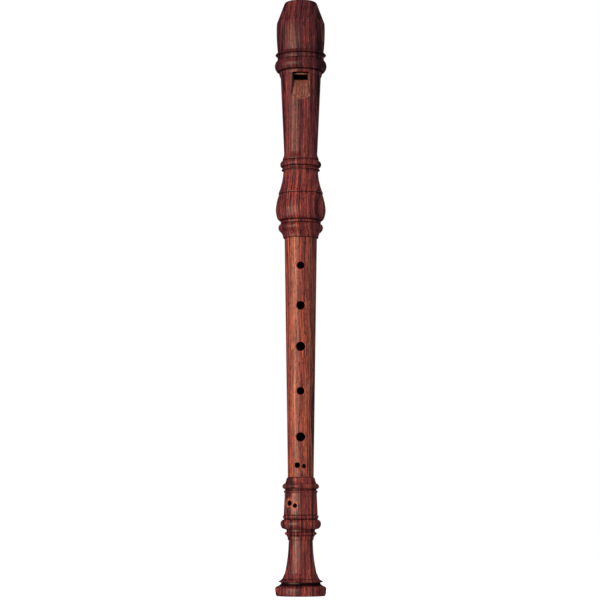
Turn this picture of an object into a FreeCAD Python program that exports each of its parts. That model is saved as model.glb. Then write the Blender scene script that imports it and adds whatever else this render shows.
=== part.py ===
import FreeCAD, Part
import Sketcher
import math
import os

# Soprano recorder: foot, middle and head joints of turned rosewood, a cedar block in the head and
# a ring of cork on each tenon. Millimetres. The bore runs along +Z, the instrument stands on its
# foot at Z = 0, and the window and the finger holes face -Y. Each piece is drawn from its own lower
# end and placed by Placement, and every size in a sketch is bound to a cell of the spreadsheet.

document = FreeCAD.newDocument("recorder")
sheet = document.addObject("Spreadsheet::Sheet", "Sizes")


class Size:
    """A length, with the spreadsheet expression that gives it."""

    def __init__(self, value, text):
        self.value = value
        self.text = text

    def __add__(self, other):
        return Size(self.value + other.value, f"({self.text} + {other.text})")

    def __sub__(self, other):
        return Size(self.value - other.value, f"({self.text} - {other.text})")

    def __neg__(self):
        return Size(-self.value, f"(-{self.text})")


sizes = {}


def add_size(alias, value):
    """Write one dimension to the next row of the sheet and keep it under its alias."""
    row = len(sizes) + 1
    sheet.set(f"A{row}", alias)
    sheet.set(f"B{row}", str(value))
    sheet.setAlias(f"B{row}", alias)
    sizes[alias] = Size(float(value), f"Sizes.{alias}")


def size(alias):
    return sizes[alias]


# The driving dimensions that more than one piece or feature shares.
DIMENSIONS = {
    "zero": 0.0,
    # lengths along the bore
    "foot_length": 64.25,
    "middle_length": 132.1,
    "head_length": 133.55,
    "shoulder_gap": 0.05,
    # sockets, tenons and their corks
    "mouth_chamfer": 0.35,
    "tenon_chamfer": 0.3,
    "shoulder_edge": 0.15,
    "running_gap": 0.03,
    "cork_end_gap": 0.05,
    "cork_chamfer": 0.25,
    "foot_socket_radius": 6.35,
    "foot_socket_depth": 11.0,
    "foot_tenon_radius": 6.05,
    "foot_tenon_length": 10.6,
    "foot_cork_seat_radius": 5.45,
    "foot_cork_start": 2.2,
    "foot_cork_length": 6.2,
    "head_socket_radius": 8.3,
    "head_socket_depth": 22.0,
    "head_tenon_radius": 8.0,
    "head_tenon_length": 21.5,
    "head_cork_seat_radius": 7.3,
    "head_cork_start": 4.0,
    "head_cork_length": 13.0,
    # the bore, from the bell up to the block
    "bell_edge_radius": 5.6,
    "bell_edge_height": 0.6,
    "bell_bore_radius": 5.0,
    "bell_bore_height": 31.0,
    "foot_bore_radius": 4.4,
    "middle_bore_low_radius": 4.5,
    "middle_bore_top_radius": 6.2,
    "head_bore_radius": 6.3,
    # outside of the middle joint
    "middle_low_radius": 7.08,
    "middle_top_radius": 9.0,
    # window, labium and windway, heights from the lower end of the head
    "window_low": 88.05,
    "window_high": 91.85,
    "window_half_width": 4.05,
    "labium_radius": 6.8,
    "ramp_reach": 12.0,
    "ramp_low": 71.85,
    "ramp_low_half_width": 7.2,
    "ramp_top_half_width": 4.95,
    "ramp_arch": 4.0,
    "undercut_depth": 6.5,
    "undercut_low": 74.0,
    "windway_half_width": 4.05,
    "windway_roof_radius": 7.3,
    "windway_entry_half_width": 4.9,
    "windway_entry_roof_radius": 7.7,
    "windway_floor": 3.6,
    "cut_width": 40.0,
    # beak and block
    "beak_thickness_line": 0.5,
    "beak_scoop_radius": 34.0,
    "block_overhang": 0.25,
    "block_chamfer": 0.75,
    # tone holes
    "hole_rounding": 0.3,
    "hole_reach": 20.0,
    "thumb_hole_height": 187.5,
    "thumb_hole_radius": 2.3,
    "foot_turn": 32.5,
}

# Finger holes of the middle joint: height above the floor, radius.
FINGER_HOLES = {
    "first_hole": (180.4, 2.05),
    "second_hole": (158.3, 2.35),
    "third_hole": (135.7, 2.5),
    "fourth_hole": (111.3, 2.1),
    "fifth_hole": (86.2, 2.5),
}

# Double holes: height above the floor, radius, and degrees round the bore from the front,
# positive towards +X. The foot's pair is measured before the foot is turned.
MIDDLE_DOUBLE_HOLES = {
    "sixth_hole_left": (70.8, 1.5, -15.3),
    "sixth_hole_right": (70.3, 1.25, 16.0),
}
FOOT_DOUBLE_HOLES = {
    "seventh_hole_left": (50.15, 1.6, -11.8),
    "seventh_hole_right": (48.85, 1.2, 11.8),
}

# Turned outlines, from the lower end up: height, radius, and the bulge of the stretch that follows,
# which is how far its arc stands out from the chord (negative for a hollow, 0 for a straight line).
FOOT_OUTLINE = {
    "base_edge": (0.0, 13.0, 0.1),
    "base_side": (1.0, 13.65, 0.05),
    "base_top": (4.2, 13.95, 0.1),
    "base_shoulder": (4.95, 13.3, 0),
    "groove_edge": (5.5, 12.25, -0.1),
    "groove_low": (6.7, 10.75, 0),
    "groove_top": (7.2, 10.75, 0),
    "lip_under": (7.5, 11.85, 0),
    "lip_top": (8.05, 12.1, -0.4),
    "bell_cove": (10.2, 9.65, 0),
    "bell_step_low": (11.7, 9.05, 0),
    "bell_step_top": (12.1, 8.7, -0.5),
    "waist": (29.8, 6.6, 0),
    "waist_ring_low": (30.2, 6.65, 0),
    "waist_ring_edge": (30.5, 7.1, 0),
    "waist_ring_top": (31.9, 7.15, 0.1),
    "sharp_ring_groove_low": (32.6, 7.75, 0),
    "sharp_ring_groove": (32.8, 7.6, 0),
    "sharp_ring_low": (32.95, 8.2, 0.05),
    "sharp_ring_crest": (33.95, 8.85, 0.1),
    "sharp_ring_top": (34.75, 7.75, 0),
    "bead_under": (35.85, 7.85, 0),
    "bead_low": (36.4, 9.75, 0.35),
    "bead_crest": (38.9, 11.08, 0.5),
    "bead_top": (41.25, 9.6, 0),
    "lower_groove": (41.5, 9.15, 0),
    "lower_ring_low": (41.75, 9.4, 0.08),
    "lower_ring_crest": (43.4, 9.8, 0),
    "lower_ring_groove": (43.7, 9.05, 0),
    "barrel_low": (43.95, 9.3, 0),
    "barrel_top": (55.3, 8.8, 0),
    "upper_line_low": (55.75, 8.8, 0.15),
    "upper_line_crest": (56.6, 9.28, 0.1),
    "upper_line_top": (57.15, 8.75, 0),
    "rim_groove": (57.75, 8.6, 0),
    "rim_ring_low": (58.0, 9.1, 0.25),
    "rim_ring_crest": (59.4, 10.06, 0.25),
    "rim_ring_top": (60.85, 9.0, 0),
    "rim_line": (61.0, 8.65, 0),
    "rim_cove_low": (61.2, 8.6, -0.1),
    "rim_cove_top": (62.8, 7.95, 0),
    "rim_side": (63.4, 7.85, 0.08),
    "rim": (64.25, 7.2, 0),
}
HEAD_OUTLINE = {
    "rim": (0.0, 9.55, 0.05),
    "rim_side": (0.4, 9.85, 0),
    "rim_cove_low": (1.2, 9.9, -0.2),
    "end_ring_low": (3.6, 11.25, 0.3),
    "end_ring_crest": (5.8, 12.38, 0.35),
    "end_ring_top": (7.7, 11.35, 0),
    "bead_groove": (7.85, 10.85, 0),
    "bead_low": (8.05, 11.05, 0.15),
    "bead_top": (9.6, 11.1, 0),
    "bulb_groove": (9.8, 10.7, 0),
    "bulb_low": (10.0, 12.0, 0.25),
    "bulb_side": (12.1, 13.3, 0.16),
    "bulb_crest": (16.0, 13.88, 0.3),
    "bulb_top": (24.4, 12.15, 0),
    "bulb_line_groove": (24.6, 11.85, 0),
    "bulb_line_low": (24.8, 12.3, 0.1),
    "bulb_line_top": (25.6, 12.2, -0.55),
    "neck": (37.85, 9.65, 0),
    "neck_fin_crest": (38.1, 10.75, 0),
    "neck_fin_top": (39.0, 10.2, 0.03),
    "neck_band_top": (39.75, 10.15, 0),
    "neck_groove": (39.9, 9.8, 0),
    "neck_ring_low": (40.1, 11.0, 0.1),
    "neck_ring_crest": (41.2, 11.42, 0.4),
    "neck_ring_top": (43.3, 10.15, 0),
    "neck_line": (43.6, 9.8, 0),
    "neck_line_top": (43.8, 10.05, 0.1),
    "barrel_foot": (45.1, 9.85, -0.15),
    "barrel_low": (47.5, 9.25, 0),
    "barrel_top": (90.3, 11.22, 0),
    "collar_line_low": (90.9, 11.4, 0.1),
    "collar_line_crest": (92.6, 12.0, 0.1),
    "collar_line_top": (93.7, 11.95, 0),
    "collar_groove": (93.9, 11.7, 0),
    "collar_low": (94.1, 13.3, 0.25),
    "collar_crest": (97.0, 14.5, 0.3),
    "collar_top": (100.0, 13.4, 0),
    "band_groove": (100.2, 12.6, 0),
    "band_low": (100.4, 12.9, 0.06),
    "band_top": (102.6, 12.95, 0),
    "sharp_ring_groove": (102.8, 12.6, 0),
    "sharp_ring_low": (103.0, 13.5, 0.05),
    "sharp_ring_crest": (103.45, 14.2, 0.1),
    "sharp_ring_top": (104.5, 12.85, 0),
    "cap_low": (105.0, 12.85, 0.15),
    "cap_side": (117.0, 13.55, 0.05),
    "cap_top": (120.8, 13.45, 0.1),
    "beak_low": (122.5, 13.0, 0),
    "beak_top": (132.6, 9.25, 0.18),
    "beak_edge": (133.55, 8.2, 0),
}


def add_outline(piece, outline):
    """Put a turned outline in the sheet and return its stations as sizes."""
    stations = []
    for name, numbers in outline.items():
        aliases = [f"{piece}_{name}_{kind}" for kind in ("height", "radius", "bulge")]
        for alias, number in zip(aliases, numbers):
            add_size(alias, number)
        stations.append(tuple(size(alias) for alias in aliases))
    return stations


for dimension_name, dimension_value in DIMENSIONS.items():
    add_size(dimension_name, dimension_value)
for hole_name, hole_numbers in FINGER_HOLES.items():
    add_size(f"{hole_name}_height", hole_numbers[0])
    add_size(f"{hole_name}_radius", hole_numbers[1])
for hole_name, hole_numbers in {**MIDDLE_DOUBLE_HOLES, **FOOT_DOUBLE_HOLES}.items():
    add_size(f"{hole_name}_height", hole_numbers[0])
    add_size(f"{hole_name}_radius", hole_numbers[1])
    add_size(f"{hole_name}_angle", hole_numbers[2])
foot_stations = add_outline("foot", FOOT_OUTLINE)
head_stations = add_outline("head", HEAD_OUTLINE)
ZERO = size("zero")
document.recompute()


# ---------------------------------------------------------------- sketches

def add_body(label):
    body = document.addObject("PartDesign::Body", label)
    body.Label = label
    return body


def add_sketch(body, name, plane_role, offset=FreeCAD.Placement()):
    """A sketch on one of the body's own origin planes, moved by offset in that plane's axes."""
    sketch = body.newObject("Sketcher::SketchObject", name)
    plane = next(item for item in body.Origin.OriginFeatures if item.Role == plane_role)
    sketch.AttachmentSupport = [(plane, "")]
    sketch.MapMode = "FlatFace"
    sketch.AttachmentOffset = offset
    return sketch


def bind(sketch, constraint, length):
    """Add a constraint whose value follows the sheet."""
    index = sketch.addConstraint(constraint)
    sketch.setExpression(f"Constraints[{index}]", length.text)


def place_point(sketch, edge, end, x, y):
    """Fix one end of an edge at x, y from the sketch's origin."""
    for kind, length, axis in (("DistanceX", x, -2), ("DistanceY", y, -1)):
        if length is ZERO:
            sketch.addConstraint(Sketcher.Constraint("PointOnObject", edge, end, axis))
        else:
            bind(sketch, Sketcher.Constraint(kind, edge, end, length.value), length)


def arc_between(low, high, bulge):
    """The arc from low to high that stands out by bulge to the right of the way up."""
    chord = high - low
    radius = (chord.Length ** 2 / 4 + bulge ** 2) / (2 * abs(bulge))
    outward = FreeCAD.Vector(chord.y, -chord.x, 0).normalize()
    centre = (low + high) / 2 + outward * (bulge - math.copysign(radius, bulge))
    start, end = (low, high) if bulge > 0 else (high, low)
    angles = [math.atan2(point.y - centre.y, point.x - centre.x) for point in (start, end)]
    circle = Part.Circle(centre, FreeCAD.Vector(0, 0, 1), radius)
    return Part.ArcOfCircle(circle, angles[0], angles[1])


def arc_radius(low, high, bulge):
    """The radius of that arc as a size that follows the sheet."""
    run = high[0] - low[0]
    rise = high[1] - low[1]
    squares = f"({run.text} ^ 2 + {rise.text} ^ 2) / 4 + {bulge.text} ^ 2"
    text = f"({squares}) / (2 * abs({bulge.text}))"
    chord = math.hypot(run.value, rise.value)
    value = (chord ** 2 / 4 + bulge.value ** 2) / (2 * abs(bulge.value))
    return Size(value, text)


def closed_outline(sketch, points):
    """Draw a closed outline of lines and arcs through points of x, y and the next edge's bulge."""
    ends = []
    for index, (x, y, bulge) in enumerate(points):
        next_x, next_y = points[(index + 1) % len(points)][:2]
        low = FreeCAD.Vector(x.value, y.value, 0)
        high = FreeCAD.Vector(next_x.value, next_y.value, 0)
        if bulge.value == 0:
            edge = sketch.addGeometry(Part.LineSegment(low, high), False)
            ends.append((edge, 1, 2))
        else:
            edge = sketch.addGeometry(arc_between(low, high, bulge.value), False)
            ends.append((edge, 1, 2) if bulge.value > 0 else (edge, 2, 1))
    for index, (x, y, bulge) in enumerate(points):
        edge, start, end = ends[index]
        next_point = points[(index + 1) % len(points)]
        next_edge, next_start, next_end = ends[(index + 1) % len(points)]
        sketch.addConstraint(Sketcher.Constraint("Coincident", edge, end, next_edge, next_start))
        place_point(sketch, edge, start, x, y)
        if bulge.value != 0:
            radius = arc_radius((x, y), next_point[:2], bulge)
            bind(sketch, Sketcher.Constraint("Radius", edge, radius.value), radius)


def circle_sketch(sketch, x, y, radius):
    """Draw a circle round x, y."""
    centre = FreeCAD.Vector(x.value, y.value, 0)
    circle = Part.Circle(centre, FreeCAD.Vector(0, 0, 1), radius.value)
    edge = sketch.addGeometry(circle, False)
    place_point(sketch, edge, 3, x, y)
    bind(sketch, Sketcher.Constraint("Radius", edge, radius.value), radius)


# ---------------------------------------------------------------- features

def lathe_points(stations, inner=ZERO):
    """The closed half section of stations of height, radius and bulge, down to an inner radius."""
    points = [(inner, stations[0][0], ZERO)]
    points += [(radius, height, bulge) for height, radius, bulge in stations[:-1]]
    points.append((stations[-1][1], stations[-1][0], ZERO))
    points.append((inner, stations[-1][0], ZERO))
    return points


def turn(body, name, stations, cut=False, inner=ZERO):
    """Turn a piece, or a hollow in it, from its half section in the XZ plane."""
    sketch = add_sketch(body, f"{name}_section", "XZ_Plane")
    closed_outline(sketch, lathe_points(stations, inner))
    volume = 0 if body.Tip is None else body.Shape.Volume
    feature = body.newObject("PartDesign::Groove" if cut else "PartDesign::Revolution", name)
    feature.Profile = sketch
    feature.ReferenceAxis = (sketch, ["V_Axis"])
    feature.Angle = 360
    document.recompute()
    check_change(feature, body, volume, cut)
    return feature


def check_change(feature, body, volume, cut):
    """Stop if a feature has added nothing, or has cut nothing away."""
    change = body.Shape.Volume - volume
    if (change >= 0) if cut else (change <= 0):
        raise RuntimeError(f"{feature.Name} changes the volume by {change:.3f}")


def pocket(body, name, sketch, length, both_ways=False):
    """Cut a sketch's outline away, along its normal or as far to each side of its plane."""
    volume = body.Shape.Volume
    feature = body.newObject("PartDesign::Pocket", name)
    feature.Profile = sketch
    feature.Type = "Length"
    feature.Length = length.value
    feature.setExpression("Length", length.text)
    feature.Midplane = both_ways
    feature.Reversed = not both_ways
    document.recompute()
    check_change(feature, body, volume, True)
    return feature


def loft_cut(body, name, first, second):
    """Cut away the straight-sided body between two sketches."""
    volume = body.Shape.Volume
    feature = body.newObject("PartDesign::SubtractiveLoft", name)
    feature.Profile = first
    feature.Sections = [second]
    feature.Ruled = True
    document.recompute()
    check_change(feature, body, volume, True)


def drill(body, name, height, radius, degrees=0.0):
    """Drill a hole straight out from the bore, so many degrees from the front towards +X."""
    turned = FreeCAD.Placement(FreeCAD.Vector(), FreeCAD.Rotation(FreeCAD.Vector(0, 1, 0), degrees))
    sketch = add_sketch(body, f"{name}_circle", "XZ_Plane", turned)
    circle_sketch(sketch, ZERO, height, radius)
    return pocket(body, name, sketch, size("hole_reach"))


def hole_rims(body, holes):
    """The outer edges of radial holes of height, radius and degrees, as the body names them."""
    names = []
    for number, edge in enumerate(body.Shape.Edges, start=1):
        points = edge.discretize(9)
        for height, radius, degrees in holes:
            angle = math.radians(degrees)
            outward = FreeCAD.Vector(math.sin(angle), -math.cos(angle), 0)
            offsets = [point - FreeCAD.Vector(0, 0, height) for point in points]
            along = [offset.dot(outward) for offset in offsets]
            across = [(offset - outward * reach).Length for offset, reach in zip(offsets, along)]
            on_hole = all(abs(distance - radius) < 0.01 for distance in across)
            if on_hole and min(along) > size("head_bore_radius").value:
                names.append(f"Edge{number}")
    return names


def round_rims(body, name, holes):
    """Round the outer rims of radial holes."""
    base = body.Tip
    feature = body.newObject("PartDesign::Fillet", name)
    feature.Base = (base, hole_rims(body, holes))
    feature.Radius = size("hole_rounding").value
    feature.setExpression("Radius", size("hole_rounding").text)
    document.recompute()


def scoop_beak(body, name, end_height, centre_depth):
    """Hollow out the back of the beak with one round sweep from side to side."""
    sketch = add_sketch(body, f"{name}_circle", "YZ_Plane")
    circle_sketch(sketch, centre_depth, end_height, size("beak_scoop_radius"))
    return pocket(body, name, sketch, size("cut_width"), both_ways=True)


# ---------------------------------------------------------------- pieces

def make_foot():
    """The foot joint: turned outside, socket at the top, bore that opens towards the bell."""
    foot = add_body("foot_joint")
    turn(foot, "foot_outside", foot_stations)
    socket_floor = size("foot_length") - size("foot_socket_depth")
    turn(foot, "foot_bore", [
        (ZERO, size("bell_edge_radius"), ZERO),
        (size("bell_edge_height"), size("bell_bore_radius"), ZERO),
        (size("bell_bore_height"), size("bell_bore_radius"), ZERO),
        (socket_floor, size("foot_bore_radius"), ZERO),
    ], cut=True)
    turn(foot, "foot_socket", [
        (socket_floor, size("foot_socket_radius"), ZERO),
        (size("foot_length") - size("mouth_chamfer"), size("foot_socket_radius"), ZERO),
        (size("foot_length"), size("foot_socket_radius") + size("mouth_chamfer"), ZERO),
    ], cut=True)
    for name, (_, _, degrees) in FOOT_DOUBLE_HOLES.items():
        drill(foot, name, size(f"{name}_height"), size(f"{name}_radius"), degrees)
    round_rims(foot, "foot_hole_rims", FOOT_DOUBLE_HOLES.values())
    foot.Placement.Rotation = FreeCAD.Rotation(FreeCAD.Vector(0, 0, 1), -size("foot_turn").value)
    return foot


def make_middle():
    """The middle joint: a plain tapered tube with a corked tenon at each end."""
    middle = add_body("middle_joint")
    low_shoulder = size("foot_tenon_length")
    top_shoulder = low_shoulder + size("middle_length")
    top = top_shoulder + size("head_tenon_length")
    edge = size("shoulder_edge")
    chamfer = size("tenon_chamfer")
    foot_tenon = size("foot_tenon_radius")
    head_tenon = size("head_tenon_radius")
    foot_seat = size("foot_cork_start")
    foot_seat_top = foot_seat + size("foot_cork_length")
    head_seat = top_shoulder + size("head_cork_start")
    head_seat_top = head_seat + size("head_cork_length")
    turn(middle, "middle_outside", [
        (ZERO, foot_tenon - chamfer, ZERO),
        (chamfer, foot_tenon, ZERO),
        (foot_seat, foot_tenon, ZERO),
        (foot_seat, size("foot_cork_seat_radius"), ZERO),
        (foot_seat_top, size("foot_cork_seat_radius"), ZERO),
        (foot_seat_top, foot_tenon, ZERO),
        (low_shoulder, foot_tenon, ZERO),
        (low_shoulder, size("middle_low_radius") - edge, ZERO),
        (low_shoulder + edge, size("middle_low_radius"), ZERO),
        (top_shoulder - edge, size("middle_top_radius"), ZERO),
        (top_shoulder, size("middle_top_radius") - edge, ZERO),
        (top_shoulder, head_tenon, ZERO),
        (head_seat, head_tenon, ZERO),
        (head_seat, size("head_cork_seat_radius"), ZERO),
        (head_seat_top, size("head_cork_seat_radius"), ZERO),
        (head_seat_top, head_tenon, ZERO),
        (top - chamfer, head_tenon, ZERO),
        (top, head_tenon - chamfer, ZERO),
    ])
    turn(middle, "middle_bore", [
        (ZERO, size("middle_bore_low_radius"), ZERO),
        (top, size("middle_bore_top_radius"), ZERO),
    ], cut=True)
    base = size("foot_length") + size("shoulder_gap") - size("foot_tenon_length")
    rims = []
    for name in FINGER_HOLES:
        height = size(f"{name}_height") - base
        drill(middle, name, height, size(f"{name}_radius"))
        rims.append((height.value, size(f"{name}_radius").value, 0.0))
    for name, (_, radius, degrees) in MIDDLE_DOUBLE_HOLES.items():
        height = size(f"{name}_height") - base
        drill(middle, name, height, size(f"{name}_radius"), degrees)
        rims.append((height.value, radius, degrees))
    thumb_height = size("thumb_hole_height") - base
    drill(middle, "thumb_hole", thumb_height, size("thumb_hole_radius"), 180.0)
    rims.append((thumb_height.value, size("thumb_hole_radius").value, 180.0))
    round_rims(middle, "middle_hole_rims", rims)
    middle.Placement.Base.z = base.value
    return middle


def make_cork(label, seat_radius, socket_radius, length, height):
    """A ring of cork that fills its seat on a tenon and runs in the socket."""
    cork = add_body(label)
    inner = seat_radius + size("running_gap")
    outer = socket_radius - size("running_gap")
    chamfer = size("cork_chamfer")
    ring_length = length - size("cork_end_gap") - size("cork_end_gap")
    turn(cork, f"{label}_ring", [
        (ZERO, outer - chamfer, ZERO),
        (chamfer, outer, ZERO),
        (ring_length - chamfer, outer, ZERO),
        (ring_length, outer - chamfer, ZERO),
    ], inner=inner)
    cork.Placement.Base.z = (height + size("cork_end_gap")).value
    return cork


def make_head(head_base):
    """The head joint: turned outside, socket, bore, window with its labium, windway and beak."""
    head = add_body("head_joint")
    end = size("head_length")
    turn(head, "head_outside", head_stations)
    turn(head, "head_bore", [
        (size("head_socket_depth"), size("head_bore_radius"), ZERO),
        (end, size("head_bore_radius"), ZERO),
    ], cut=True)
    turn(head, "head_socket", [
        (ZERO, size("head_socket_radius") + size("mouth_chamfer"), ZERO),
        (size("mouth_chamfer"), size("head_socket_radius"), ZERO),
        (size("head_socket_depth"), size("head_socket_radius"), ZERO),
    ], cut=True)
    cut_ramp(head)
    cut_window(head)
    cut_windway(head)
    centre_depth = size("beak_thickness_line") + size("beak_scoop_radius")
    scoop_beak(head, "beak_scoop", end, centre_depth)
    head.Placement.Base.z = head_base.value
    return head


def front_offset(depth):
    """An offset that puts a sketch on the XZ plane so far in front of the bore's axis."""
    return FreeCAD.Placement(FreeCAD.Vector(0, 0, depth.value), FreeCAD.Rotation())


def cut_ramp(head):
    """Cut the labium's ramp: it sinks from an arch on the barrel's face to the labium's edge."""
    high = size("window_high")
    outer = add_sketch(head, "ramp_front", "XZ_Plane", front_offset(size("ramp_reach")))
    inner = add_sketch(head, "ramp_edge", "XZ_Plane", front_offset(size("labium_radius")))
    arch = size("ramp_arch")
    window_half = size("window_half_width")
    for sketch, low, low_half, top_half, bulge in (
        (outer, size("ramp_low") - arch, size("ramp_low_half_width"), size("ramp_top_half_width"),
         -arch),
        (inner, size("window_low"), window_half, window_half, ZERO),
    ):
        closed_outline(sketch, [
            (-low_half, low, bulge),
            (low_half, low, ZERO),
            (top_half, high, ZERO),
            (-top_half, high, ZERO),
        ])
    loft_cut(head, "ramp", outer, inner)


def cut_window(head):
    """Open the window into the bore, and thin the labium from inside."""
    low = size("window_low")
    high = size("window_high")
    half = size("window_half_width")
    opening = add_sketch(head, "window_outline", "XZ_Plane")
    closed_outline(opening, [
        (-half, low, ZERO),
        (half, low, ZERO),
        (half, high, ZERO),
        (-half, high, ZERO),
    ])
    pocket(head, "window", opening, size("labium_radius") + size("shoulder_edge"))
    wedge = add_sketch(head, "undercut_section", "YZ_Plane")
    closed_outline(wedge, [
        (ZERO, size("undercut_low"), ZERO),
        (-size("windway_floor"), size("undercut_low"), ZERO),
        (-size("undercut_depth"), low, ZERO),
        (ZERO, low, ZERO),
    ])
    pocket(head, "undercut", wedge, half + half, both_ways=True)


def windway_section(sketch, half, roof):
    """An arched slot in front of the axis: a round roof, straight sides and a flat floor."""
    floor = -size("windway_floor")
    depth = math.sqrt(roof.value ** 2 - half.value ** 2)
    side = Size(depth, f"sqrt({roof.text} ^ 2 - {half.text} ^ 2)")
    closed_outline(sketch, [
        (-half, -side, roof - side),
        (half, -side, ZERO),
        (half, floor, ZERO),
        (-half, floor, ZERO),
    ])


def cut_windway(head):
    """Cut the windway in the roof of the bore, a little larger at the lips than at the window."""
    low = add_sketch(head, "windway_exit", "XY_Plane", FreeCAD.Placement(
        FreeCAD.Vector(0, 0, size("window_high").value), FreeCAD.Rotation()))
    high = add_sketch(head, "windway_entry", "XY_Plane", FreeCAD.Placement(
        FreeCAD.Vector(0, 0, size("head_length").value), FreeCAD.Rotation()))
    windway_section(low, size("windway_half_width"), size("windway_roof_radius"))
    windway_section(high, size("windway_entry_half_width"), size("windway_entry_roof_radius"))
    loft_cut(head, "windway", low, high)


def make_block(head_base):
    """The cedar block that fills the bore above the window and carries the windway's floor."""
    block = add_body("block")
    start = size("window_high") - size("block_overhang")
    length = size("head_length") - start
    radius = size("head_bore_radius") - size("running_gap")
    turn(block, "block_outside", [(ZERO, radius, ZERO), (length, radius, ZERO)])
    centre_depth = size("beak_thickness_line") + size("beak_scoop_radius")
    scoop_beak(block, "block_scoop", length, centre_depth)
    chamfer = size("block_chamfer")
    lip = add_sketch(block, "block_lip_section", "YZ_Plane")
    closed_outline(lip, [
        (-radius, chamfer, ZERO),
        (-radius - chamfer, ZERO, ZERO),
        (chamfer - radius, ZERO, ZERO),
    ])
    pocket(block, "block_lip", lip, size("cut_width"), both_ways=True)
    block.Placement.Base.z = (head_base + start).value
    return block


gap = size("shoulder_gap")
middle_base = size("foot_length") + gap
head_base = middle_base + size("middle_length") + gap
pieces = [
    make_foot(),
    make_middle(),
    make_cork("foot_tenon_cork", size("foot_cork_seat_radius"), size("foot_socket_radius"),
              size("foot_cork_length"),
              middle_base - size("foot_tenon_length") + size("foot_cork_start")),
    make_cork("head_tenon_cork", size("head_cork_seat_radius"), size("head_socket_radius"),
              size("head_cork_length"),
              middle_base + size("middle_length") + size("head_cork_start")),
    make_head(head_base),
    make_block(head_base),
]
document.recompute()

faults = [item.Name for item in document.Objects if {"Invalid", "Error"} & set(item.State)]
faults += [piece.Label for piece in pieces if piece.Shape.isNull() or not piece.Shape.isValid()]
if faults:
    raise RuntimeError(f"not built: {faults}")

os.makedirs("parts", exist_ok=True)
for piece in pieces:
    piece.Shape.exportStep(f"parts/{piece.Label}.step")
    box = piece.Shape.BoundBox
    print(f"{piece.Label}: {len(piece.Shape.Solids)} solid, {piece.Shape.Volume:.0f} mm3, "
          f"Z {box.ZMin:.2f} to {box.ZMax:.2f}")
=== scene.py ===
import math

import bpy
from mathutils import Color, Euler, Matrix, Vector


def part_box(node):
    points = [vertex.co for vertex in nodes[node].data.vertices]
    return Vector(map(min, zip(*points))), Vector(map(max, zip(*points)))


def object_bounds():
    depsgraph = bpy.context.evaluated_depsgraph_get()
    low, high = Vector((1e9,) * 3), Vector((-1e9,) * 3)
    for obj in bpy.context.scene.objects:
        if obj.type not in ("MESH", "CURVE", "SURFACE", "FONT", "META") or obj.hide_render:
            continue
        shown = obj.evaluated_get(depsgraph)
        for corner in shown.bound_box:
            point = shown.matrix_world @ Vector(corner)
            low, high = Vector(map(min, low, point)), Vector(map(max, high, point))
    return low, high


# A soprano recorder of oiled rosewood, standing on its foot in a plain white studio.
# Lengths are metres in the scene. The materials work in millimetres of the shared frame, which are
# each piece's own coordinates too, with the grain along Z. Their noises take cells in a millimetre.

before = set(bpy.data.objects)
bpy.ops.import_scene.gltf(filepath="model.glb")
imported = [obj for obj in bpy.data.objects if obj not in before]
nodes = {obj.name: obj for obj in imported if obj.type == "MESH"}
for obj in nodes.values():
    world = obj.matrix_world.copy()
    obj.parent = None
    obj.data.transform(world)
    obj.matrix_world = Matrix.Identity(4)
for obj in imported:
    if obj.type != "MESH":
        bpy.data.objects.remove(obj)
cad_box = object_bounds()
MM = 0.001

# Places in millimetres: the joints' ends are read from the frame, and the rest repeat the design.
foot_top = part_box("foot_joint")[1].z / MM
head_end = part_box("head_joint")[0].z / MM
SHOULDER_GAP = 0.05
middle_low = foot_top + SHOULDER_GAP
middle_top = head_end - SHOULDER_GAP
BLOCK_OVERHANG = 0.25
window_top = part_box("block")[0].z / MM + BLOCK_OVERHANG
ramp_foot = head_end + 67.85

# Straight tapers: height and radius at the lower end, then at the upper end.
HEAD_BARREL = ((head_end + 47.5, 9.25), (head_end + 90.3, 11.22))
MIDDLE_BODY = ((middle_low, 7.08), (middle_top, 9.0))

# The foot's double hole: height, radius, and degrees round the bore from the front.
FOOT_HOLES = ((50.15, 1.6, -44.3), (48.85, 1.2, -20.7))
FOOT_SKIN_RADIUS = 8.95

# Heights over which painted shade lies in the foot's base groove and in the fine line above it: it
# fades in from the first to the second, and out from the third to the last.
BASE_GROOVE = (5.2, 5.8, 7.3, 7.5)
BASE_LINE = (8.85, 9.15, 9.25, 9.55)

# Just outside each joint's bore, so that the mask of painted shade takes in its wall.
HEAD_BORE_RADIUS = 6.6
MIDDLE_BORE_RADIUS = 6.3
FOOT_BORE_RADIUS = 5.3
# Just inside the head's skin above the window.
WINDOW_ROOF_RADIUS = 11.0


# ---------------------------------------------------------------- colours

def colour(red, green, blue):
    """A colour from 0 to 255 sRGB numbers, as the linear value that a socket wants."""
    return tuple(Color((red / 255, green / 255, blue / 255)).from_srgb_to_scene_linear())


def rgba(rgb):
    return (*rgb, 1.0)


WHITE = (1.0, 1.0, 1.0)
# Painted shade for grooves.
CREVICE_SHADE = colour(18, 7, 12)
# Painted shade for bores, hole walls, the window's roof and the base groove.
HOLLOW_SHADE = colour(12, 5, 6)
# Painted shade for the block's lower end.
BLOCK_END_SHADE = colour(20, 12, 14)
GLOSS_TINT = (1.0, 0.80, 0.64)

# Tones of wood run from the darkest band to the lightest, at these steps of the band's noise.
TONE_STEPS = (0.39, 0.46, 0.53, 0.60)
DARK_TONES = (colour(66, 26, 36), colour(108, 43, 45), colour(138, 59, 53), colour(162, 79, 64))
LIGHT_TONES = (colour(106, 45, 46), colour(151, 67, 53), colour(184, 89, 62), colour(212, 114, 76))
RAW_TONES = (colour(108, 60, 50), colour(137, 77, 60), colour(158, 90, 70), colour(180, 108, 84))
WORN_TONES = (colour(150, 64, 44), colour(182, 84, 56), colour(204, 104, 70), colour(216, 120, 84))


# ---------------------------------------------------------------- node graphs

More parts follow.
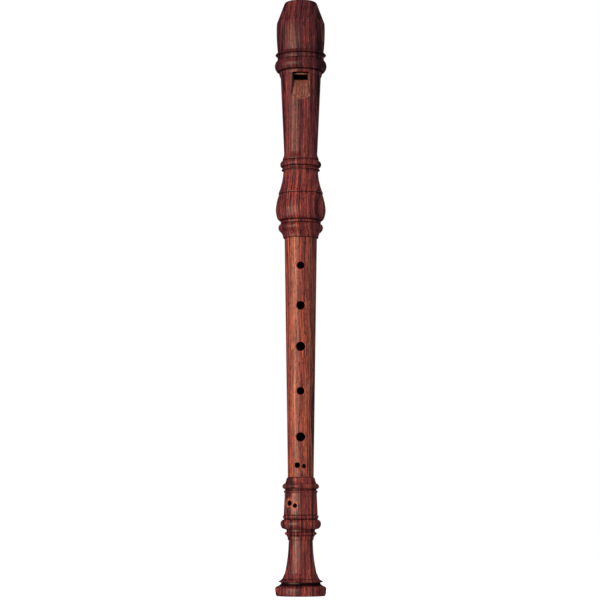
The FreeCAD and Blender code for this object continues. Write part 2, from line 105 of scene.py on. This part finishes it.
class Graph:
    """The node tree of a new material or world, with short calls for its nodes."""

    def __init__(self, owner):
        self.owner = owner
        owner.use_nodes = True
        self.tree = owner.node_tree
        self.tree.nodes.clear()

    def add(self, kind, inputs=(), **settings):
        """Add a node, set its properties, and link or set its inputs by name or number."""
        node = self.tree.nodes.new(kind)
        for name, value in settings.items():
            setattr(node, name, value)
        for key, value in dict(inputs).items():
            self.feed(node.inputs[key], value)
        return node

    def feed(self, socket, value):
        """Link another node's output to a socket, or set its value."""
        if isinstance(value, bpy.types.NodeSocket):
            self.tree.links.new(value, socket)
        else:
            socket.default_value = value

    def math(self, operation, first, second=0.0):
        return self.add("ShaderNodeMath", {0: first, 1: second}, operation=operation).outputs[0]

    def between(self, value, low, high):
        """0 at low, 1 at high, smooth between them; low may be the larger."""
        node = self.add("ShaderNodeMapRange", {0: value, 1: low, 2: high},
                        interpolation_type="SMOOTHSTEP")
        return node.outputs[0]

    def stretch(self, value, low, full_low, full_high, high):
        """1 from full_low to full_high, fading to 0 at low and at high."""
        return self.product(self.between(value, low, full_low),
                            self.between(value, high, full_high))

    def product(self, *factors):
        result = factors[0]
        for factor in factors[1:]:
            result = self.math("MULTIPLY", result, factor)
        return result

    def largest(self, *values):
        result = values[0]
        for value in values[1:]:
            result = self.math("MAXIMUM", result, value)
        return result

    def summed(self, start, *changes):
        """A start and its changes, each a value and the amount of it that is added."""
        for value, amount in changes:
            start = self.math("ADD", start, self.product(value, amount))
        return start

    def offset(self, value, reach):
        """Noise of 0 to 1 as a move to either side, reach from end to end."""
        return self.product(self.math("SUBTRACT", value, 0.5), reach)

    def length(self, first, second):
        """The distance that two sides at right angles span."""
        squares = self.math("ADD", self.product(first, first), self.product(second, second))
        return self.math("SQRT", squares)

    def vector(self, x, y, z):
        return self.add("ShaderNodeCombineXYZ", {"X": x, "Y": y, "Z": z}).outputs[0]

    def scaled(self, vector, factor):
        node = self.add("ShaderNodeVectorMath", {0: vector, "Scale": factor}, operation="SCALE")
        return node.outputs[0]

    def noise(self, vector, detail=2.0, roughness=0.5):
        """Noise of 0 to 1 over a vector that is already scaled."""
        node = self.add("ShaderNodeTexNoise", {
            "Vector": vector, "Scale": 1.0, "Detail": detail, "Roughness": roughness})
        return node.outputs["Fac"]

    def ramp(self, value, positions, colours):
        """The colours that stand at the positions of a value from 0 to 1."""
        node = self.add("ShaderNodeValToRGB", {0: value})
        elements = node.color_ramp.elements
        while len(elements) < len(positions):
            elements.new(0.5)
        for element, position, rgb in zip(elements, positions, colours):
            element.position = position
            element.color = rgba(rgb)
        return node.outputs[0]

    def mix(self, amount, first, second, mode="MIX"):
        """The first colour where amount is 0, and the second where it is 1."""
        node = self.add("ShaderNodeMix", data_type="RGBA", blend_type=mode)
        factor, first_colour, second_colour = (node.inputs[number] for number in (0, 6, 7))
        self.feed(factor, amount)
        self.feed(first_colour, first)
        self.feed(second_colour, second)
        return node.outputs[2]

    def painted(self, wood, cover, paint):
        """Wood with one colour over it, as much as cover says."""
        return self.mix(cover, wood, rgba(paint))

    def tinted(self, wood, tint, amount=1.0):
        """Wood multiplied by a tint."""
        return self.mix(amount, wood, tint, "MULTIPLY")

    def finish(self, wood, roughness, height, bump, **settings):
        """Join colour, roughness and height to the surface; settings go on the shader's sockets."""
        normal = self.add("ShaderNodeBump", {"Height": height, "Strength": 1.0, "Distance": bump})
        shader = self.add("ShaderNodeBsdfPrincipled", {
            "Base Color": wood, "Roughness": roughness, "Normal": normal.outputs[0]})
        for name, value in settings.items():
            shader.inputs[name].default_value = value
        self.add("ShaderNodeOutputMaterial", {"Surface": shader.outputs[0]})
        return self.owner


def place_mm(graph):
    """The place on the piece, as a vector in millimetres."""
    return graph.scaled(graph.add("ShaderNodeTexCoord").outputs["Object"], 1 / MM)


# ---------------------------------------------------------------- grain

class Grain:
    """The growth layers of a piece cut well away from its tree's pith, wavering along Z."""

    def __init__(self, graph, pith, seed):
        self.graph = graph
        self.x, self.y, self.z = graph.add(
            "ShaderNodeSeparateXYZ", {0: place_mm(graph)}).outputs[:3]
        self.seed = seed
        radius = graph.length(graph.math("SUBTRACT", self.x, pith[0]),
                              graph.math("SUBTRACT", self.y, pith[1]))
        slow_waver = graph.offset(self.cells(0.05, 0.013), 5.0)
        quick_waver = graph.offset(self.cells(0.22, 0.045), 0.5)
        self.layer = graph.math("ADD", radius, graph.math("ADD", slow_waver, quick_waver))

    def cells(self, across, along, detail=2.0, roughness=0.5):
        """Noise in cells of a size set by how many there are in a millimetre."""
        place = self.graph.vector(
            self.graph.product(self.x, across),
            self.graph.math("ADD", self.graph.product(self.y, across), self.seed),
            self.graph.product(self.z, along))
        return self.graph.noise(place, detail, roughness)

    def layers(self, across, along, seed_offset, detail=2.0, roughness=0.5):
        """Noise that follows the growth layers: streaks on a side face, rings on an end face."""
        drift = self.graph.product(self.y, 0.06 * across)
        place = self.graph.vector(
            self.graph.product(self.layer, across),
            self.graph.math("ADD", drift, self.seed + seed_offset),
            self.graph.product(self.z, along))
        return self.graph.noise(place, detail, roughness)


def crevice_shade(graph, distance):
    """1 deep in a groove or hole, 0 on open wood; painted shade goes there."""
    shade = graph.add("ShaderNodeAmbientOcclusion", {"Distance": distance * MM}, samples=8)
    return graph.between(shade.outputs["AO"], 0.94, 0.48)


def crests(graph, distance):
    """1 on a sharp crest and 0 on flat wood; the crests are made a little lighter."""
    shade = graph.add("ShaderNodeAmbientOcclusion", {"Distance": distance * MM},
                      samples=8, inside=True)
    return graph.between(shade.outputs["AO"], 0.75, 0.3)


# ---------------------------------------------------------------- rosewood

def tone_bands(grain):
    """Bands of tone, wide, narrow and fine together, and the narrow ones alone."""
    graph = grain.graph
    wide = grain.layers(0.22, 0.006, 0.0)
    narrow = grain.layers(1.3, 0.014, 3.0, detail=3.0, roughness=0.6)
    fine = grain.layers(3.6, 0.04, 7.0)
    return graph.summed(graph.product(wide, 0.18), (narrow, 0.42), (fine, 0.40)), narrow


def dark_lines(grain):
    """1 on the dark lines along the growth layers, which break off here and there."""
    graph = grain.graph
    wide = graph.between(grain.layers(1.05, 0.008, 40.0, detail=1.0), 0.57, 0.61)
    thin = graph.between(grain.layers(2.6, 0.016, 60.0, detail=1.0), 0.56, 0.62)
    whole = graph.between(grain.cells(0.5, 0.07), 0.25, 0.55)
    return graph.product(graph.largest(wide, graph.product(thin, 0.9)), whole)


def streak_tint(grain, fibres, amount):
    """How short streaks and fibres darken and lighten the wood."""
    graph = grain.graph
    streaks = graph.ramp(grain.cells(2.3, 0.11, roughness=0.6), (0.34, 0.48, 0.66),
                         ((0.50, 0.44, 0.56), (0.98, 0.96, 0.96), (1.40, 1.32, 1.16)))
    fibre_tone = graph.ramp(fibres, (0.32, 0.5, 0.68),
                            ((0.62, 0.58, 0.60), WHITE, (1.32, 1.28, 1.20)))
    return graph.mix(amount, rgba(WHITE), graph.tinted(streaks, fibre_tone))


def open_pores(grain, narrow_bands, fleck_amount):
    """Fine pores and larger flecks, which crowd in the darker of the narrow bands."""
    graph = grain.graph
    crowd = graph.offset(narrow_bands, -0.3)
    pore = graph.between(graph.math("ADD", grain.cells(6.5, 0.42), crowd), 0.58, 0.68)
    fleck = graph.between(graph.math("ADD", grain.cells(2.7, 0.36), crowd), 0.59, 0.66)
    return graph.largest(graph.product(pore, 0.75), graph.product(fleck, fleck_amount))


def shade_tint(graph, shade):
    """A shade as a tint in which red changes the most and blue the least."""
    channels = {"Red": shade, "Green": graph.math("POWER", shade, 0.8),
                "Blue": graph.math("POWER", shade, 0.4)}
    return graph.add("ShaderNodeCombineColor", channels).outputs[0]


def rosewood(name, tones, raw_tones, line_colour, figure, gloss, pith, seed, cuts, hollow_shade,
             shade):
    """Oiled rosewood: wandering bands of tone, dark lines, streaks, fibres and open pores.

    figure is how strong the lines, flecks and streaks are, and gloss is the shader's specular
    level. cuts, the hollow mask and shade take the graph and the place in millimetres. cuts is 1
    where the skin is cut to paler, drier wood, the hollow mask is 1 where bores, hole walls and the
    window's roof get painted shade, and shade is how bright the wood is, partly its own tone and
    partly painted light and shade."""
    line_amount, fleck_amount, streak_amount = figure
    graph = Graph(bpy.data.materials.new(name))
    grain = Grain(graph, pith, seed)
    place = (grain.x, grain.y, grain.z)
    band, narrow_bands = tone_bands(grain)
    fibres = grain.cells(4.5, 0.4, detail=3.0, roughness=0.65)
    streaks = streak_tint(grain, fibres, streak_amount)
    pores = open_pores(grain, narrow_bands, fleck_amount)

    wood = graph.ramp(band, TONE_STEPS, tones)
    wood = graph.painted(wood, graph.product(dark_lines(grain), line_amount), line_colour)
    wood = graph.tinted(wood, streaks)
    wood = graph.painted(wood, pores, line_colour)
    # The wood's broad tone together with painted light and shade.
    wood = graph.tinted(wood, shade_tint(graph, shade(graph, *place)))

    raw = cuts(graph, *place)
    raw_wood = graph.tinted(graph.ramp(band, TONE_STEPS, raw_tones), streaks)
    raw_wood = graph.painted(raw_wood, graph.product(pores, 0.6), line_colour)
    wood = graph.mix(raw, wood, raw_wood)
    # Sharp crests lightened towards the lightest tone.
    wood = graph.painted(wood, graph.product(crests(graph, 0.35), 0.3), tones[-1])
    # Painted shade in grooves and holes.
    wood = graph.painted(wood, graph.product(crevice_shade(graph, 1.8), 0.92), CREVICE_SHADE)
    # Painted shade in bores, on hole walls and on the window's roof, and in the foot's base groove.
    wood = graph.painted(wood, graph.product(hollow_shade(graph, *place), 0.95), HOLLOW_SHADE)

    rough = graph.summed(0.18, (fibres, 0.24), (graph.largest(raw, pores), 0.18))
    height = graph.math("SUBTRACT", graph.product(fibres, 0.4), graph.product(pores, 0.5))
    return graph.finish(wood, rough, height, 0.05 * MM, **{
        "Specular IOR Level": gloss, "Specular Tint": rgba(GLOSS_TINT)})


# ---------------------------------------------------------------- where the wood is cut or hollow

def below_surface(graph, x, y, z, taper, depth):
    """1 where a point lies deeper than depth under a straight taper's surface."""
    (low, low_radius), (high, high_radius) = taper
    slope = (high_radius - low_radius) / (high - low)
    surface = graph.math("ADD", graph.product(z, slope), low_radius - low * slope - depth)
    return graph.between(graph.math("SUBTRACT", surface, graph.length(x, y)), 0.0, 0.1)


def within(graph, x, y, radius):
    """1 nearer to the bore's axis than radius."""
    return graph.between(graph.length(x, y), radius + 0.2, radius - 0.2)


def front_half(graph, y):
    return graph.between(y, 0.0, -1.0)


def middle_body(graph, z):
    """1 between the middle joint's two tenons."""
    return graph.stretch(z, middle_low + 0.2, middle_low + 0.7, middle_top - 0.6, middle_top - 0.2)


def head_cuts(graph, x, y, z):
    """The ramp, the window's walls and, behind them, the inside of the head's front half."""
    sunk = below_surface(graph, x, y, z, HEAD_BARREL, 0.03)
    level = graph.stretch(z, ramp_foot - 2.3, ramp_foot - 0.3, window_top - 0.2, window_top - 0.05)
    return graph.product(sunk, level, front_half(graph, y))


def head_hollow_shade(graph, x, y, z):
    """Painted shade in the bore and windway, and on the roof of the window."""
    level = graph.stretch(z, window_top - 0.15, window_top - 0.05, window_top + 0.1, window_top + 0.3)
    roof = graph.product(level, within(graph, x, y, WINDOW_ROOF_RADIUS), front_half(graph, y))
    return graph.largest(roof, within(graph, x, y, HEAD_BORE_RADIUS))


def middle_cuts(graph, x, y, z):
    """The rims and walls of the finger holes."""
    return graph.product(below_surface(graph, x, y, z, MIDDLE_BODY, 0.05), middle_body(graph, z))


def middle_hollow_shade(graph, x, y, z):
    """Painted shade on the hole walls below their rims, and in the bore."""
    walls = graph.product(below_surface(graph, x, y, z, MIDDLE_BODY, 0.45), middle_body(graph, z))
    return graph.largest(walls, within(graph, x, y, MIDDLE_BORE_RADIUS))


def near_foot_holes(graph, x, y, z, outer, inner):
    """1 closer to the rims of the foot's double hole than inner, 0 further than outer. The far side
    of the bore, which the holes' cylinders would also meet, is left out."""
    holes = []
    for height, radius, degrees in FOOT_HOLES:
        sine = math.sin(math.radians(degrees))
        cosine = math.cos(math.radians(degrees))
        outward = graph.math("ADD", graph.product(x, sine), graph.product(y, -cosine))
        sideways = graph.math("ADD", graph.product(x, cosine), graph.product(y, sine))
        reach = graph.length(sideways, graph.math("SUBTRACT", z, height))
        near = graph.between(reach, radius + outer, radius + inner)
        same_side = graph.between(outward, 5.0, 6.0)
        holes.append(graph.product(near, same_side))
    return graph.largest(*holes)


def foot_cuts(graph, x, y, z):
    """The skin round the foot's double hole, which fingers have rubbed through to paler wood."""
    ragged = graph.noise(graph.vector(graph.product(x, 0.7), graph.product(y, 0.7),
                                      graph.product(z, 0.45)))
    rubbed = graph.product(near_foot_holes(graph, x, y, z, 2.6, 0.2),
                           graph.between(ragged, 0.38, 0.6))
    return graph.largest(rubbed, near_foot_holes(graph, x, y, z, 0.7, 0.3))


def foot_hollow_shade(graph, x, y, z):
    """Painted shade on the hole walls, in the bore, and in the groove and fine line above the base.
    """
    inside = graph.between(graph.length(x, y), FOOT_SKIN_RADIUS, FOOT_SKIN_RADIUS - 0.25)
    walls = graph.product(near_foot_holes(graph, x, y, z, 0.1, 0.02), inside)
    groove = graph.product(graph.stretch(z, *BASE_GROOVE), 0.9)
    line = graph.product(graph.stretch(z, *BASE_LINE), 0.7)
    return graph.largest(walls, groove, line, within(graph, x, y, FOOT_BORE_RADIUS))


# ---------------------------------------------------------------- light and dark wood

def streak(graph, x, centre, reach):
    """A soft-edged upright streak, as wide each way as its reach."""
    return graph.stretch(x, centre - reach, centre - 0.3 * reach, centre + 0.3 * reach,
                         centre + reach)


def head_tone_and_painted_light(graph, x, y, z):
    """Partly the wood's tone and partly painted light and shade: the head is brightest at the
    bulb and darkest at the collar, with a dark streak in front.
    """
    above_bulb = graph.between(z, 225.0, 246.0)
    above_window = graph.between(z, 287.0, 292.0)
    above_rings = graph.between(z, 302.0, 307.0)
    return graph.summed(1.36, (above_bulb, -0.34), (above_window, -0.30), (above_rings, 0.14),
                        (streak(graph, x, 0.1, 1.3), -0.34), (streak(graph, x, 3.0, 2.2), 0.16))


def middle_tone_and_painted_light(graph, x, y, z):
    """Partly the wood's tone and partly painted light and shade: the front is the lightest, and
    the heartwood on the right is darker.
    """
    return graph.summed(1.0, (graph.between(x, -1.5, 0.6), 0.22),
                        (graph.between(x, 2.4, 5.8), -0.42))


def foot_tone_and_painted_light(graph, x, y, z):
    """Partly the wood's tone and partly painted light and shade: the foot is a lighter billet,
    lightest on the right; its front streak is dark in the bell and light above it."""
    bell_streak = graph.product(graph.between(z, 34.0, 30.0), streak(graph, x, -0.3, 1.2))
    barrel_streak = graph.product(graph.between(z, 38.0, 42.0), streak(graph, x, 0.5, 1.6))
    return graph.summed(1.25, (graph.between(x, 0.0, 2.6), 0.36), (bell_streak, -0.34),
                        (barrel_streak, 0.50))


# ---------------------------------------------------------------- block and corks

def cedar():
    """Planed pencil cedar: soft straight bands, no oil, and painted shade on its lower end."""
    graph = Graph(bpy.data.materials.new("cedar"))
    grain = Grain(graph, (22.0, -30.0), 5.0)
    band = grain.layers(1.3, 0.01, 0.0, detail=3.0)
    wood = graph.ramp(band, (0.35, 0.5, 0.65),
                      (colour(174, 102, 76), colour(214, 140, 108), colour(230, 168, 134)))
    fibres = grain.cells(7.0, 0.3, detail=3.0)
    wood = graph.tinted(wood, graph.ramp(fibres, (0.3, 0.6), ((0.7, 0.66, 0.62), WHITE)), 0.5)
    # Painted shade on the block's lower end, except on its front lip.
    shaded_lower_end = graph.between(grain.z, window_top - 0.05, window_top - 0.2)
    behind_lip = graph.between(grain.y, -5.6, -5.4)
    wood = graph.painted(wood, graph.product(shaded_lower_end, behind_lip, 0.9), BLOCK_END_SHADE)
    return graph.finish(wood, graph.summed(0.5, (fibres, 0.2)), fibres, 0.03 * MM)


def cork():
    """Cork: pale granules, brown lenticels and a waxy face."""
    graph = Graph(bpy.data.materials.new("cork"))
    place = place_mm(graph)
    cells = graph.add("ShaderNodeTexVoronoi", {"Vector": place, "Scale": 1.6})
    patches = graph.noise(place, 4.0, 0.6)
    specks = graph.between(graph.noise(graph.scaled(place, 2.2), 3.0), 0.6, 0.7)
    tone = graph.ramp(patches, (0.3, 0.5, 0.7),
                      (colour(150, 104, 66), colour(186, 140, 96), colour(206, 164, 120)))
    tone = graph.painted(tone, graph.product(specks, 0.7), colour(92, 54, 32))
    height = graph.math("SUBTRACT", cells.outputs["Distance"], specks)
    return graph.finish(tone, graph.summed(0.5, (patches, 0.2)), height, 0.05 * MM)


# ---------------------------------------------------------------- the pieces' materials

def set_material(material, *pieces):
    for piece in pieces:
        for slot in nodes[piece].material_slots:
            slot.material = material


set_material(rosewood(
    "rosewood_head", tones=DARK_TONES, raw_tones=RAW_TONES, line_colour=colour(34, 13, 26),
    figure=(0.85, 0.6, 1.0), gloss=0.75, pith=(-58.0, 9.0), seed=46.1,
    cuts=head_cuts, hollow_shade=head_hollow_shade, shade=head_tone_and_painted_light), "head_joint")
set_material(rosewood(
    "rosewood_foot", tones=DARK_TONES, raw_tones=WORN_TONES, line_colour=colour(34, 13, 26),
    figure=(0.85, 0.6, 1.0), gloss=1.0, pith=(-70.0, -16.0), seed=46.4,
    cuts=foot_cuts, hollow_shade=foot_hollow_shade, shade=foot_tone_and_painted_light), "foot_joint")
set_material(rosewood(
    "rosewood_middle", tones=LIGHT_TONES, raw_tones=WORN_TONES, line_colour=colour(56, 21, 36),
    figure=(0.62, 1.0, 0.9), gloss=0.8, pith=(-64.0, 14.0), seed=267.6,
    cuts=middle_cuts, hollow_shade=middle_hollow_shade, shade=middle_tone_and_painted_light), "middle_joint")
set_material(cedar(), "block")
set_material(cork(), "head_tenon_cork", "foot_tenon_cork")


# ---------------------------------------------------------------- studio

centre = Vector((0.0, 0.0, (cad_box[0].z + cad_box[1].z) / 2))


def floor(radius):
    """A white disc that fades into the white room, and neither lights the object nor shows in it."""
    bpy.ops.mesh.primitive_circle_add(vertices=96, radius=radius, fill_type="NGON")
    disc = bpy.context.object
    disc.name = "floor"
    graph = Graph(bpy.data.materials.new("floor_white"))
    position = graph.add("ShaderNodeTexCoord").outputs["Object"]
    x, y = graph.add("ShaderNodeSeparateXYZ", {0: position}).outputs[:2]
    fade = graph.between(graph.length(x, y), radius * 0.35, radius * 0.95)
    white = graph.add("ShaderNodeBsdfPrincipled", {
        "Base Color": (0.86, 0.86, 0.86, 1.0), "Roughness": 0.9,
        "Emission Color": rgba(WHITE), "Emission Strength": 0.72}).outputs[0]
    clear = graph.add("ShaderNodeBsdfTransparent").outputs[0]
    blend = graph.add("ShaderNodeMixShader", {0: fade, 1: white, 2: clear}).outputs[0]
    graph.add("ShaderNodeOutputMaterial", {"Surface": blend})
    disc.data.materials.append(graph.owner)
    disc.visible_diffuse = False
    disc.visible_glossy = False
    disc.visible_shadow = False


def room(seen, lighting, mirrored):
    """A white room: how the lens sees it, the light it gives, and how gloss shows it."""
    world = bpy.data.worlds.new("white_room")
    bpy.context.scene.world = world
    graph = Graph(world)
    path = graph.add("ShaderNodeLightPath").outputs
    shown = graph.add("ShaderNodeBackground", {"Color": rgba(lighting)}).outputs[0]
    for light, ray in ((mirrored, "Is Glossy Ray"), (seen, "Is Camera Ray")):
        instead = graph.add("ShaderNodeBackground", {"Color": rgba(light)}).outputs[0]
        shown = graph.add("ShaderNodeMixShader", {0: path[ray], 1: shown, 2: instead}).outputs[0]
    graph.add("ShaderNodeOutputWorld", {"Surface": shown})


def softbox(name, azimuth, elevation, distance, width, height, power, tint, mirrored=False):
    """A rectangular light that faces the object's centre: azimuth 0 is the front, 90 the right.
    It lights the surface, and gloss shows it only if it is mirrored."""
    turn = math.radians(azimuth)
    tilt = math.radians(elevation)
    way = Vector((math.sin(turn) * math.cos(tilt), -math.cos(turn) * math.cos(tilt),
                  math.sin(tilt)))
    data = bpy.data.lights.new(name, "AREA")
    data.shape = "RECTANGLE"
    data.size = width
    data.size_y = height
    data.energy = power
    data.color = tint
    light = bpy.data.objects.new(name, data)
    light.location = centre + way * distance
    light.rotation_mode = "QUATERNION"
    light.rotation_quaternion = (-way).to_track_quat("-Z", "Y")
    light.visible_camera = False
    light.visible_glossy = mirrored
    bpy.context.scene.collection.objects.link(light)


def camera(distance, side, height, pitch, lens):
    """A long lens near the foot's level, tilted up a little."""
    data = bpy.data.cameras.new("camera")
    data.lens = lens
    data.sensor_width = 36.0
    data.clip_start = 0.05
    data.clip_end = 20.0
    viewer = bpy.data.objects.new("camera", data)
    viewer.location = (side, -distance, height)
    viewer.rotation_euler = Euler((math.radians(90 + pitch), 0.0, 0.0))
    bpy.context.scene.collection.objects.link(viewer)
    bpy.context.scene.camera = viewer


floor(radius=0.9)
room(seen=WHITE, lighting=(0.27, 0.35, 0.46), mirrored=(0.02, 0.022, 0.024))

# The key is two lights in one place, so that gloss shows only about a third of its power.
KEY = {"azimuth": -42.0, "elevation": -2.0, "distance": 1.3, "width": 1.2, "height": 0.9,
       "tint": (1.0, 0.94, 0.82)}
softbox("key_light", power=6.6, mirrored=True, **KEY)
softbox("key_fill", power=11.4, **KEY)
softbox("back_light", azimuth=155.0, elevation=15.0, distance=1.5, width=0.6, height=0.9,
        power=8.0, tint=(1.0, 0.97, 0.92))
softbox("top_light", azimuth=40.0, elevation=62.0, distance=1.5, width=1.0, height=1.0,
        power=2.0, tint=(0.94, 0.97, 1.0))
camera(distance=1.1, side=-0.0004, height=0.042, pitch=6.23, lens=120.0)
bpy.context.scene.view_settings.view_transform = "Standard"
